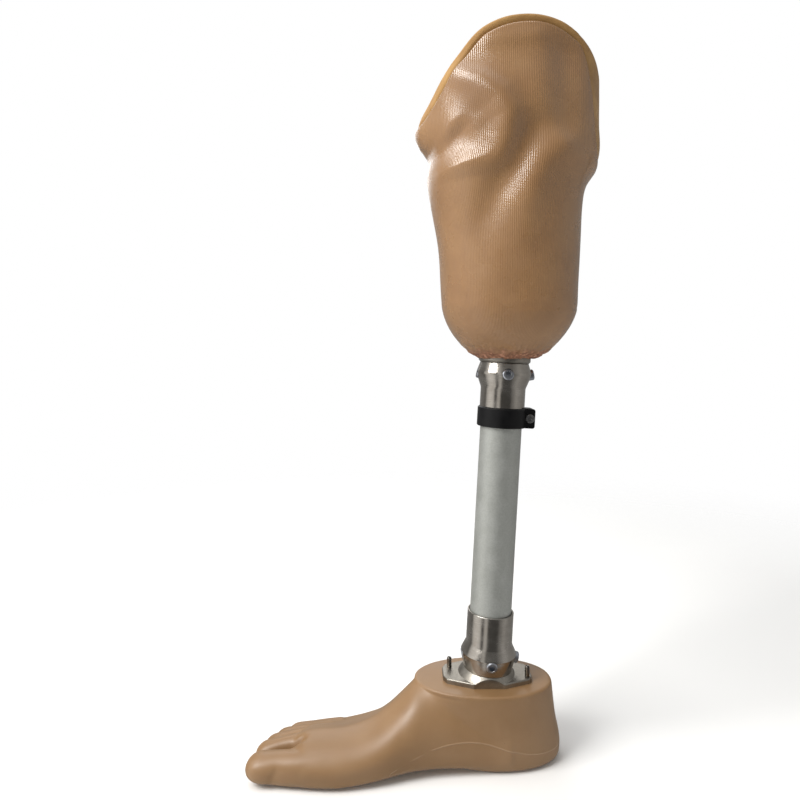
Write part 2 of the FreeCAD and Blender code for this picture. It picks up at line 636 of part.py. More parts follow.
def all_parts():
    parts = {}
    parts.update(foot_parts())
    parts["foot_adapter"] = foot_adapter()
    for name, (x, y) in PINS.items():
        parts[name] = spring_pin(x, y)
    parts["foot_bolt"] = foot_bolt()
    parts["lock_washer"] = washer(BOLT_SEAT - 2 * WASHER_THICK, WASHER_RADIUS - 0.8, 12)
    parts["flat_washer"] = washer(BOLT_SEAT - WASHER_THICK, WASHER_RADIUS, 0)
    parts["tube_adapter"] = tube_adapter()
    parts["pylon_tube"] = pylon_tube()
    parts["clamp_adapter"] = clamp_adapter()
    parts["clamp_band"] = clamp_band()
    parts["clamp_screw"] = clamp_screw()
    parts["clamp_nut"] = clamp_nut()
    for side, length in LOW_SCREWS.items():
        parts["lower_screw_" + side] = on_pylon(set_screw(side, length, LEAN_SHIFT.get(side, 0.0)))
    for side, length in HIGH_SCREWS.items():
        mirrored = {"medial": "lateral", "lateral": "medial"}.get(side, side)
        parts["upper_screw_" + side] = on_pylon(turned_down(set_screw(mirrored, length)))
    parts.update(socket_parts())
    return parts


os.makedirs("parts", exist_ok=True)
for part_name, part_shape in all_parts().items():
    solids = part_shape.Solids
    print(part_name, len(solids), "solids", round(part_shape.Volume), "mm3", "valid", part_shape.isValid())
    shape = solids[0] if len(solids) == 1 else Part.makeCompound(solids)
    shape.exportStep("parts/" + part_name + ".step")
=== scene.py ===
"""Looks of a right below-knee prosthesis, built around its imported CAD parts.

Outlines and sculpted features are in millimetres, as in the CAD part, and meshes are made in metres.
The origin is on the floor under the foot bolt, +Z up, toes towards -X, inner (medial) side towards -Y."""

import json
import math

import bpy
import numpy as np
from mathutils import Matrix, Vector, noise


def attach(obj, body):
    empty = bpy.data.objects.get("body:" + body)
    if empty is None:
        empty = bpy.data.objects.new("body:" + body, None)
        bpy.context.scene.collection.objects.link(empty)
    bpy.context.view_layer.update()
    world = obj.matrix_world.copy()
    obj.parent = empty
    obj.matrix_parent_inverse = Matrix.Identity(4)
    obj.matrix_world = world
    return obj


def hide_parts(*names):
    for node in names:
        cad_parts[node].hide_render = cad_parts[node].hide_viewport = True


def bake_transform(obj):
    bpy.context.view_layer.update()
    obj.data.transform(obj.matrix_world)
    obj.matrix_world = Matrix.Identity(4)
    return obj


MM = 0.001

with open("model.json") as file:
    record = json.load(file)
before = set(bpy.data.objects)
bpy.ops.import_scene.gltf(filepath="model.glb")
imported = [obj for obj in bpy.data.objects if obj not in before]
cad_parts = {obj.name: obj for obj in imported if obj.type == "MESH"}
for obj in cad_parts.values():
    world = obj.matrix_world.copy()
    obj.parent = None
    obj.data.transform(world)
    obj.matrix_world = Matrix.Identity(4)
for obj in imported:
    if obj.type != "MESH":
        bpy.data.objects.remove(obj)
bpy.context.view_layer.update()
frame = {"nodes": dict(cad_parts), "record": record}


# ---- outlines, as in the CAD part ----------------------------------------------------------------
FRONT = [(327.6, -32.5), (369, -35.2), (404, -41.5), (417, -43.0), (430, -41.4), (475, -44), (516, -45)]
BACK = [(327.6, 64.2), (369, 65.8), (398, 67.8), (409, 70.5), (421, 78),
        (433, 81), (450, 80.5), (475, 81), (516, 83)]
HALF_WIDTH = [(327.6, 46.5), (350, 48.5), (392, 50.5), (421, 52.5),
              (445, 54.5), (465, 53.5), (490, 49.5), (516, 47.5)]
KNEECAP = [(428, 0), (433, 1.4), (437, 4.4), (441, 7.4), (448, 9.8), (456, 8.0), (466, 3.5), (478, 0)]
KNEECAP_SPREAD = 21.0
MIDDLE_X = 16.0
SECTION_POWER = 2.35
SHELL_TRIM = [(-60, 447), (-45.5, 455.5), (-27.5, 477), (-6.5, 500.5), (26, 508.5),
              (56, 498.5), (62.5, 486.5), (66.5, 462), (69.5, 436), (76, 420)]
LINER_TRIM = [(-64, 452), (-49, 461), (-34, 480), (-10, 505), (26, 513),
              (59, 503), (77, 484), (83, 463), (96, 438)]
SOCKET_LOW = 286.6
CAP_LOW = 281.0
CAP_POWER = 1.8
SHOULDER = 327.6
SHELL_WALL = 3.4
BUILD_UP = 3.0                      # extra laminate at the lower end
BUILD_UP_FROM, BUILD_UP_OVER = 350, 25
LINER_WALL = 5.5
GLUE_GAP = 0.15
SHELL_ROLL, LINER_ROLL = 1.5, 1.4   # how far each rolled rim stands above the trim of its walls
LINER_FLARE = 2.1                   # how far the liner swells outwards above the laminate's edge
TRIM_RANGE = (400.0, 516.0)         # heights between which both trim lines lie
LINER_LOW = 305.0
LINER_FLOOR = LINER_LOW + 6.5       # where the liner's inner surface closes
PAD_TOP = 334.0
PAD_EDGE = [(314, 0.9), (318, 1.0), (323, 1.0), (328, 1.0), (331.5, 1.0),
            (333.2, 0.992), (334.0, 0.965), (333.9, 0.935)]     # height, share of the full outline
ANCHOR_X = 14.3                     # axis of the lamination anchor at the socket's lower end
ANCHOR_RADIUS = 18.6

MEDIAL = [(20, -29.5), (-20, -31.5), (-50, -35), (-80, -42.5),
          (-105, -46), (-130, -45), (-150, -42.5), (-161, -38)]
LATERAL = [(20, 29.5), (-20, 30), (-60, 31), (-105, 30),
           (-125, 27), (-140, 19), (-152, 7), (-161, -8)]
DORSUM = [(20, 54), (-45, 54), (-53, 52), (-60, 46), (-71, 37), (-83, 30.4),
          (-97, 26.5), (-125, 25), (-150, 21.5), (-161, 17.5)]
SOLE = [(20, 0), (-12, 1.0), (-35, 2.2), (-60, 1.8), (-80, 0.6), (-100, 0), (-138, 0), (-150, 0.8), (-161, 3)]
HEEL_BACK = [(0, 53.3), (15, 52.6), (30, 49.6), (54, 47.0)]
ANKLE_FRONT = [(0, -44), (30, -48), (46, -52), (54, -52.8)]
ANKLE_HALF = [(0, 28.5), (20, 29.5), (54, 29.5)]
OUTER_SLOPE = 0.34
PLATEAU = 54.0
ACCESS_RADIUS = 10.5
BOLT_SEAT = 22.0


def smooth(points, at):
    """Cubic curve through (position, value) points, level past both ends."""
    points = sorted(points)
    xs = np.array([p[0] for p in points], float)
    ys = np.array([p[1] for p in points], float)
    last = len(xs) - 1
    after = np.minimum(np.arange(last + 1) + 1, last)
    before = np.maximum(np.arange(last + 1) - 1, 0)
    slopes = (ys[after] - ys[before]) / (xs[after] - xs[before])
    at = np.clip(np.asarray(at, float), xs[0], xs[-1])
    i = np.clip(np.searchsorted(xs, at, side="right") - 1, 0, last - 1)
    span = xs[i + 1] - xs[i]
    t = (at - xs[i]) / span
    start = (2 * t**3 - 3 * t**2 + 1) * ys[i] + (t**3 - 2 * t**2 + t) * span * slopes[i]
    end = (3 * t**2 - 2 * t**3) * ys[i + 1] + (t**3 - t**2) * span * slopes[i + 1]
    return start + end


def ease(value):
    """0 below 0, 1 above 1, smooth between."""
    value = np.clip(value, 0, 1)
    return value * value * (3 - 2 * value)


def signed_power(value, power):
    return np.sign(value) * np.abs(value) ** power


# ---- meshes ----------------------------------------------------------------------------------------
def add_mesh(name, points, faces):
    mesh = bpy.data.meshes.new(name)
    mesh.from_pydata((np.asarray(points) * MM).tolist(), [], faces)
    mesh.update()
    mesh.polygons.foreach_set("use_smooth", [True] * len(mesh.polygons))
    thing = bpy.data.objects.new(name, mesh)
    bpy.context.scene.collection.objects.link(thing)
    return thing


def skin(name, rings, start=None, end=None, joined=False):
    """Mesh over closed rings of points, with a fan to a start or end point, or the last ring joined to the first."""
    count, around = rings.shape[:2]
    column = np.arange(around)
    beside = (column + 1) % around
    faces = []
    for low in range(count if joined else count - 1):
        high = (low + 1) % count
        quads = np.stack([low * around + column, low * around + beside,
                          high * around + beside, high * around + column], 1)
        faces += quads.tolist()
    points = rings.reshape(-1, 3)
    for tip, ring, flip in ((start, 0, True), (end, count - 1, False)):
        if tip is None:
            continue
        points = np.vstack([points, tip])
        centre = len(points) - 1
        for a, b in zip(ring * around + column, ring * around + beside):
            faces.append([int(b), int(a), centre] if flip else [int(a), int(b), centre])
    return add_mesh(name, points, faces)


def unwrap(thing, around, across, name="Weave"):
    """UV map in metres: distance round the piece, and height."""
    mesh = thing.data
    layer = mesh.uv_layers.new(name=name)
    corners = np.zeros(len(mesh.loops), int)
    mesh.loops.foreach_get("vertex_index", corners)
    points = np.zeros(len(mesh.vertices) * 3)
    mesh.vertices.foreach_get("co", points)
    height = points.reshape(-1, 3)[:, 2]
    wrap = across[corners % around]
    starts = np.zeros(len(mesh.polygons), int)
    totals = np.zeros(len(mesh.polygons), int)
    mesh.polygons.foreach_get("loop_start", starts)
    mesh.polygons.foreach_get("loop_total", totals)
    whole = across[-1]
    face = np.repeat(np.arange(len(starts)), totals)
    widest = np.maximum.reduceat(wrap, starts)
    wrap = np.where(widest[face] - wrap > whole / 2, wrap + whole, wrap)
    layer.data.foreach_set("uv", np.stack([wrap, height[corners]], 1).ravel())


# ---- socket ------------------------------------------------------------------------------------------
AROUND = 336
ANGLES = 2 * math.pi * np.arange(AROUND) / AROUND


def limb(angle, z, inset=0.0, cap_low=CAP_LOW):
    """Points of the socket's outline at heights z, moved inwards by inset."""
    shoulder = SHOULDER + cap_low - CAP_LOW
    depth = np.clip((shoulder - z) / (shoulder - cap_low), 0, 0.9999)
    shrink = (1 - depth**CAP_POWER) ** (1 / CAP_POWER)
    middle = MIDDLE_X - 2.0 * (1 - shrink)
    back = (smooth(BACK, z) - MIDDLE_X) * shrink - inset
    front = (MIDDLE_X - smooth(FRONT, z)) * shrink - inset
    half = smooth(HALF_WIDTH, z) * shrink - inset
    forward, sideways = np.cos(angle), np.sin(angle)
    x = middle + np.where(forward > 0, back, front) * signed_power(forward, 2 / SECTION_POWER)
    y = half * signed_power(sideways, 2 / SECTION_POWER)
    x = x - np.where(forward < 0, smooth(KNEECAP, z) * np.exp(-((y / KNEECAP_SPREAD) ** 2)), 0)
    return np.stack(np.broadcast_arrays(x, y, z), -1)


def outward(rings):
    """Unit normals of a grid of rings."""
    along = np.gradient(rings, axis=0)
    round_it = np.roll(rings, -1, axis=1) - np.roll(rings, 1, axis=1)
    normal = np.cross(round_it, along)
    return normal / np.maximum(np.linalg.norm(normal, axis=-1, keepdims=True), 1e-9)


def near(x, z, line, width):
    """1 on a line drawn in the side view, falling to 0 within about two widths of it."""
    best = np.full(np.shape(x), 1e9)
    for (x0, z0), (x1, z1) in zip(line, line[1:]):
        dx, dz = x1 - x0, z1 - z0
        t = np.clip(((x - x0) * dx + (z - z0) * dz) / (dx * dx + dz * dz), 0, 1)
        best = np.minimum(best, (x - x0 - t * dx) ** 2 + (z - z0 - t * dz) ** 2)
    return np.exp(-best / width**2)


# Features of the cast: line in the side view, width, height.
FEATURES = [
    # kneecap's lower border, run out backwards
    ([(-37, 438), (-29, 444)], 6.5, 0.8),
    # arched ridge beside the kneecap, and the pocket below it
    ([(-12, 448), (-8, 440)], 8.0, -1.2),
    ([(-25, 476), (-12, 468), (1, 458), (8, 446), (8, 432), (3, 420)], 9.0, 3.3),
    # channel beside the shin, and the flare of the shin bone
    ([(20, 434), (8, 411), (-1, 394), (-8, 376), (-12, 352)], 11.5, -3.9),
    ([(44, 425), (31, 415), (24, 403), (19, 384), (16, 362)], 11.0, 2.8),
    # hollow above the inner knee, and its foot
    ([(47, 488), (46, 448)], 12.0, -3.2),
    ([(30, 440), (46, 436)], 7.0, -1.4),
    # roll below the upper edge
    ([(-4, 496), (26, 499)], 6.0, 0.9),
]
FOLD = ((-46, 421.5), (0.822, 0.570))   # a point on the fold under the kneecap, and its direction


def fold(x, z):
    """Sharp fold below the kneecap, then a flat facet that rises to a soft crest."""
    (x0, z0), (dx, dz) = FOLD
    along = (x - x0) * dx + (z - z0) * dz
    below = (x - x0) * dz - (z - z0) * dx
    share = below / (11.5 + 0.42 * np.clip(along, 0, 30))
    into = -3.2 * ease((share + 0.42) / 0.42)
    facet = 5.8 * np.clip(share, 0, 1) ** 1.15
    away = 2.6 * ease((share - 0.98) / 0.75)
    return (into + facet - away) * ease((40 - along) / 18)


def sculpt(base):
    """How far each point of the outline moves outwards."""
    x, y, z = base[..., 0], base[..., 1], base[..., 2]
    side = ease((np.abs(y) - 10) / 16) * ease((x + 41) / 20) * np.where(y < 0, 1.0, 0.7)
    height = np.zeros(x.shape)
    for line, width, rise in FEATURES:
        height += rise * near(x, z, line, width)
    height = height * (0.25 + 0.75 * ease((z - 348) / 58)) + fold(x, z)
    return height * side


def trimmed_top(line):
    """Height of a trim line drawn from the side, at each angle round the socket."""
    low, high = (np.full(AROUND, end) for end in TRIM_RANGE)
    for _ in range(30):
        middle = (low + high) / 2
        above = middle > smooth(line, limb(ANGLES, middle)[..., 0])
        high = np.where(above, middle, high)
        low = np.where(above, low, middle)
    return low


def wall(low, top, rows, inset, cap_low=CAP_LOW, extra=None):
    """Grid of rings from height low to the trim line, moved inwards by inset(z) and with the sculpted features."""
    share = np.linspace(0, 1, rows)[:, None]
    z = low + (top[None, :] - low) * share
    base = limb(ANGLES[None, :], z)
    normal = outward(base)
    rings = limb(ANGLES[None, :], z, inset(z), cap_low) + normal * sculpt(base)[..., None]
    if extra is not None:
        rings = rings + normal * extra(base, share)[..., None]
    return rings


def rim(outer, inner, steps=9, fullness=1.0):
    """Rings that roll over from the top of the outer grid to the top of the inner one."""
    centre = (outer[-1] + inner[-1]) / 2
    reach = (outer[-1] - inner[-1]) / 2
    rise = outer[-1] - outer[-3]
    rise = rise / np.linalg.norm(rise, axis=-1, keepdims=True) * np.linalg.norm(reach, axis=-1, keepdims=True)
    rings = []
    for angle in np.linspace(0, math.pi, steps)[1:-1]:
        rings.append(centre + reach * math.cos(angle) + rise * math.sin(angle) * fullness)
    return np.stack(rings)


def build_up(z):
    """Extra thickness of the laminate at height z."""
    return BUILD_UP * ease((BUILD_UP_FROM - z) / BUILD_UP_OVER)


def lumps(points, scale, seed):
    """Smooth noise at each point, about -1 to 1."""
    flat = points.reshape(-1, 3) * scale + seed
    values = [noise.noise(Vector(p)) for p in flat.tolist()]
    return np.array(values).reshape(points.shape[:-1])


def shell_detail(base, share):
    """Overlapping layers and the roughly ground lower edge of the laminate."""
    z = base[..., 2]
    detail = 0.35 * lumps(base, 0.035, 3.0)
    lap = 322 + 4 * np.sin(base[..., 1] / 19) + 0.05 * base[..., 0]
    detail += 0.35 * ease((lap - z) / 1.6) * ease((base[..., 0] - 2) / 20)
    ground = ease((301 - z) / 9)
    rough = 0.9 * lumps(base, 0.22, 11.0) + 0.5 * lumps(base, 0.6, 5.0)
    return detail + ground * rough


def make_shell():
    """Laminated socket: outer and inner skin, rolled rim, and a floor open for the metal anchor."""
    top = trimmed_top(SHELL_TRIM) - SHELL_ROLL
    outer = wall(SOCKET_LOW, top, 210, lambda z: np.zeros(z.shape), extra=shell_detail)
    inner = wall(292.5, top, 90, lambda z: SHELL_WALL + build_up(z))
    hole = ANCHOR_RADIUS + 0.3
    circle = np.stack([ANCHOR_X + 0.3 + hole * np.cos(ANGLES), hole * np.sin(ANGLES),
                       np.full(AROUND, SOCKET_LOW)], -1)
    floor = [circle + [0, 0, 5.5], circle, circle + (outer[0] - circle) * 0.6]
    floor[2][:, 2] += 0.25 * lumps(floor[2], 0.4, 2.0)
    rings = np.concatenate([outer, rim(outer, inner), inner[::-1], np.stack(floor)])
    shell = skin("laminated_socket", rings, joined=True)
    base = limb(ANGLES, np.full(AROUND, TRIM_RANGE[0]))
    steps = np.linalg.norm(np.roll(base, -1, axis=0) - base, axis=-1) * MM
    across = np.concatenate([[0], np.cumsum(steps)])
    unwrap(shell, AROUND, across)
    return shell


def make_liner():
    """Foam liner: a closed cup with a rolled rim, swollen a little where it leaves the laminate."""
    shell_top = trimmed_top(SHELL_TRIM)
    top = trimmed_top(LINER_TRIM) - LINER_ROLL

    def outer_inset(z):
        folded = ease((z - shell_top[None, :] + 1.0) / 5.0)
        return SHELL_WALL + GLUE_GAP + build_up(z) - LINER_FLARE * folded

    def wavy(base, share):
        return 0.35 * lumps(base, 0.06, 8.0) * ease((share - 0.8) * 5)

    outer = wall(LINER_LOW + 1.6, top, 150, outer_inset, LINER_LOW, wavy)
    inner = wall(LINER_FLOOR + 2.0, top, 150, lambda z: SHELL_WALL + GLUE_GAP + build_up(z) + LINER_WALL,
                 LINER_FLOOR, wavy)
    rings = np.concatenate([outer, rim(outer, inner, 11, 0.8), inner[::-1]])
    low = [MIDDLE_X - 2, 0, LINER_LOW + 0.6]
    high = [MIDDLE_X - 2, 0, LINER_FLOOR + 1.0]
    return skin("foam_liner_skin", rings, start=low, end=high)


def make_pad():
    """Dished soft pad at the bottom of the liner, with a rounded edge."""
    def ring_at(z, share):
        edge = limb(ANGLES, np.full(AROUND, float(z)),
                    SHELL_WALL + build_up(np.array(float(z))) + 2 * GLUE_GAP + LINER_WALL, LINER_FLOOR)
        middle = np.array([MIDDLE_X - 1, 0, z])
        return middle + (edge - middle) * share

    rings = [ring_at(z, share) for z, share in PAD_EDGE]
    for share in np.linspace(0.9, 0.06, 22):
        dish = 8.0 * (1 - share**2) * ease((0.97 - share) / 0.4 + 0.15)
        ring = ring_at(PAD_TOP, share)
        ring[:, 2] = PAD_TOP - 0.3 - dish
        rings.append(ring)
    rings = np.stack(rings)
    return skin("soft_end_pad", rings, start=[MIDDLE_X - 1, 0, 313.7], end=[MIDDLE_X - 1, 0, PAD_TOP - 8.4])


# ---- foot ----------------------------------------------------------------------------------------------
FOOT_AROUND = 120
VOXEL = 0.85
# Each toe: base (x, y), tip (x, y), half width, height at the base and near the tip, rise of the tip
TOES = [
    ((-114, -35.2), (-168, -33.0), 10.9, 21.8, 17.6, 2.2),
    ((-120, -15.0), (-165, -17.0), 8.0, 22.8, 14.5, 1.6),
    ((-116, -3.5), (-161, -5.5), 8.0, 20.0, 12.0, 1.4),
    ((-112, 8.0), (-155, 5.0), 7.8, 15.4, 10.4, 1.2),
    ((-106, 19.0), (-147, 14.5), 7.8, 11.4, 8.6, 1.0),
]


def foot_ring(x, shrink):
    """Closed outline of the forefoot across its length, as in the CAD part."""
    inner, outer = smooth(MEDIAL, x), smooth(LATERAL, x)
    low, high = smooth(SOLE, x), smooth(DORSUM, x)
    middle, half = (inner + outer) / 2, (outer - inner) / 2
    forward = min(max((-x - 55) / 50, 0), 1)
    widest = low + 6.5 + 9 * (1 - forward)
    ridge = middle - 8.0 * forward * half / 37
    angle = 2 * math.pi * (np.arange(FOOT_AROUND) + 0.5) / FOOT_AROUND
    side, rise = np.cos(angle), np.sin(angle)
    y_low = middle + half * signed_power(side, 0.45)
    z_low = widest + (widest - low) * signed_power(rise, 0.55)
    y_high = middle + half * signed_power(side, 0.95) + (ridge - middle) * rise
    peak = np.maximum(high - OUTER_SLOPE * np.maximum(y_high - ridge, 0), widest)
    z_high = widest + (peak - widest) * rise
    y = np.where(rise < 0, y_low, y_high)
    z = np.where(rise < 0, z_low, z_high)
    centre = widest - 1.5
    return np.stack([np.full(FOOT_AROUND, x), middle + (y - middle) * (0.4 + 0.6 * shrink),
                     centre + (z - centre) * shrink], -1)


def forefoot_body():
    """Instep and ball, rounded off just past the toes' roots."""
    stations = list(np.arange(14, -126, -2.0)) + [-128, -130.5, -133, -135.5, -137.5, -139, -140.2, -141]
    rings = []
    for x in stations:
        over = max((-126 - x) / 15.2, 0)
        rings.append(foot_ring(x, (1 - over**2.2) ** (1 / 2.2)))
    first, last = rings[0].mean(axis=0), rings[-1].mean(axis=0)
    return skin("forefoot_body", np.stack(rings)[:, ::-1], start=first, end=last)


def column_body():
    """Heel and ankle, with its flat top for the adapter plate."""
    angle = 2 * math.pi * np.arange(FOOT_AROUND) / FOOT_AROUND
    rings = []
    levels = [(0, 5.0), (0.5, 3.4), (1.6, 2.0), (3, 1.0), (5, 0.4), (9, 0.1)]
    levels += [(z, 0) for z in range(12, 53, 4)] + [(52.6, 0), (53.6, 0.4), (PLATEAU, 1.2)]
    for z, inset in levels:
        back = smooth(HEEL_BACK, z) - inset
        front = smooth(ANKLE_FRONT, z) + inset
        half = smooth(ANKLE_HALF, z) - inset
        middle = (back + front) / 2
        power = np.where(np.cos(angle) > 0, 0.92, 1.0)
        x = middle + (back - front) / 2 * signed_power(np.cos(angle), power)
        y = half * signed_power(np.sin(angle), power)
        rings.append(np.stack([x, y, np.full(FOOT_AROUND, float(z))], -1))
    return skin("column_body", np.stack(rings), start=[0, 0, 0], end=[0, 0, PLATEAU])


def toe_body(base, tip, half_width, base_top, tip_top, lift):
    """One toe: a rounded finger of foam, flat underneath and lifted a little at its tip."""
    base, tip = np.array(base, float), np.array(tip, float)
    length = np.linalg.norm(tip - base)
    aim = (tip - base) / length
    across = np.array([-aim[1], aim[0]])
    angle = 2 * math.pi * np.arange(48) / 48
    rings = []
    for share in [*np.linspace(0, 0.7, 10), 0.76, 0.82, 0.87, 0.91, 0.945, 0.97, 0.985, 0.995]:
        round_from = 1 - 1.05 * half_width / length
        over = max((share - round_from) / (1 - round_from), 0)
        size = (1 - over**2.1) ** (1 / 2.1)
        waist = 1 - 0.07 * math.exp(-((share - 0.55) / 0.13) ** 2)
        top = base_top + (tip_top - base_top) * share ** 1.4
        low = lift * float(ease((share - 0.45) / 0.5))
        centre = low + (top - low) * 0.46
        up = (top - centre) * size * np.maximum(np.sin(angle), 0) ** 0.92
        down = (centre - low) * size * np.maximum(-np.sin(angle), 0) ** 0.7
        sideways = half_width * waist * size * signed_power(np.cos(angle), 0.92)
        spot = base + aim * length * share
        rings.append(np.stack([spot[0] + across[0] * sideways, spot[1] + across[1] * sideways,
                               centre + up - down], -1))
    rings = np.stack(rings)
    return skin("toe_body", rings, start=rings[0].mean(axis=0), end=rings[-1].mean(axis=0))


def applied(thing):
    """Replaces the object's mesh with its mesh after modifiers."""
    graph = bpy.context.evaluated_depsgraph_get()
    mesh = bpy.data.meshes.new_from_object(thing.evaluated_get(graph))
    thing.modifiers.clear()
    thing.data = mesh


def neighbours_mean(mesh, rounds, factor):
    """Vertex places after some rounds of Laplacian smoothing."""
    count = len(mesh.vertices)
    edges = np.zeros(len(mesh.edges) * 2, int)
    mesh.edges.foreach_get("vertices", edges)
    a, b = edges.reshape(-1, 2).T
    points = np.zeros(count * 3)
    mesh.vertices.foreach_get("co", points)
    points = points.reshape(-1, 3)
    degree = np.bincount(a, minlength=count) + np.bincount(b, minlength=count)
    for _ in range(rounds):
        total = np.stack([np.bincount(a, points[b, k], count) + np.bincount(b, points[a, k], count)
                          for k in range(3)], 1)
        points = points + (total / np.maximum(degree, 1)[:, None] - points) * factor
    return points


# Where the mould's parting line runs along the foot's side: (x, z)
PARTING = [(-72, 8), (-56, 15), (-38, 21.5), (-20, 24.2), (-4, 22.8), (11, 17.8), (24, 14.2), (37, 12), (52, 11)]


def make_foot():
    """One skin over forefoot, heel and toes: melted together, smoothed, then creased, cleft and marked."""
    bodies = [forefoot_body(), column_body()] + [toe_body(*toe) for toe in TOES]
    turn = 2 * math.pi * np.arange(64) / 64
    ends = (-5.0, BOLT_SEAT)
    rings = [np.stack([ACCESS_RADIUS * np.cos(turn), ACCESS_RADIUS * np.sin(turn), np.full(64, z)], -1) for z in ends]
    hole = skin("hole", np.stack(rings), start=[0, 0, ends[0]], end=[0, 0, ends[1]])
    for body in bodies[:2]:
        cut = body.modifiers.new("hole", "BOOLEAN")
        cut.operation, cut.object, cut.solver = "DIFFERENCE", hole, "EXACT"
        applied(body)
    points, faces = [], []
    for body in bodies:
        offset = len(points)
        points += [tuple(v.co / MM) for v in body.data.vertices]
        faces += [[offset + i for i in p.vertices] for p in body.data.polygons]
    for thing in [*bodies, hole]:
        bpy.data.objects.remove(thing)
    foot = add_mesh("foot_skin", points, faces)
    melt = foot.modifiers.new("melt", "REMESH")
    melt.mode, melt.voxel_size, melt.adaptivity = "VOXEL", VOXEL * MM, 0.0
    applied(foot)
    mesh = foot.data
    before = neighbours_mean(mesh, 0, 0) / MM
    soft = neighbours_mean(mesh, 14, 0.5) / MM
    x, y, z = before.T
    crisp = ease((z - 51.0) / 2) * ease((x + 60) / 6)
    crisp = np.maximum(crisp, ease((14.5 - np.hypot(x, y)) / 2) * ease((BOLT_SEAT + 2 - z) / 2))
    softest = neighbours_mean(mesh, 90, 0.5) / MM
    ankle = ease((x + 70) / 10) * ease((-14 - x) / 14) * ease((53.6 - z) / 2.5) * ease((z - 8) / 8)
    soft = soft + (softest - soft) * ankle[:, None]
    light = neighbours_mean(mesh, 3, 0.5) / MM
    points = soft + (light - soft) * crisp[:, None]
    x, y, z = points.T
    crease = near(x, z, [(-150, 2), (-148, 8), (-146, 12)], 3.0) * ease((-30 - y) / 8)
    points[:, 1] += 0.5 * crease
    cleft = smooth([(-124, 0), (-129, 1.2), (-133.5, 5.5), (-143, 5.5), (-154, 2)], x)
    aside = (y + 24.0) / smooth([(-124, 4.0), (-132, 2.3), (-142, 1.5)], x)
    points[:, 2] -= cleft * np.exp(-aside**2) * ease((z - 6) / 8)
    nail_x, nail_y = (x + 160.5) / 6.2, (y + 33.2) / 5.6
    nail = np.clip(1 - nail_x**4 - nail_y**4, 0, 1) * (z > 12)
    points[:, 2] += 0.25 * np.sqrt(nail)
    points[:, 2] = np.clip(points[:, 2], 0.02, PLATEAU - 0.03)
    mesh.vertices.foreach_set("co", (points * MM).ravel())
    mesh.polygons.foreach_set("use_smooth", [True] * len(mesh.polygons))
    mesh.update()
    parting = mesh.attributes.new("parting", "FLOAT", "POINT")
    x, y, z = points.T
    gap = z - smooth(PARTING, x)
    away = np.maximum(np.maximum(-70 - x, x - 56), 0)
    parting.data.foreach_set("value", (gap + 8 * away).astype(np.float32))
    return foot


# ---- materials -------------------------------------------------------------------------------------------
def tone(red, green, blue):
    """Linear colour from the usual 0 to 255 display values."""
    linear = []
    for value in (red, green, blue):
        value /= 255
        linear.append(value / 12.92 if value <= 0.04045 else ((value + 0.055) / 1.055) ** 2.4)
    return (*linear, 1.0)


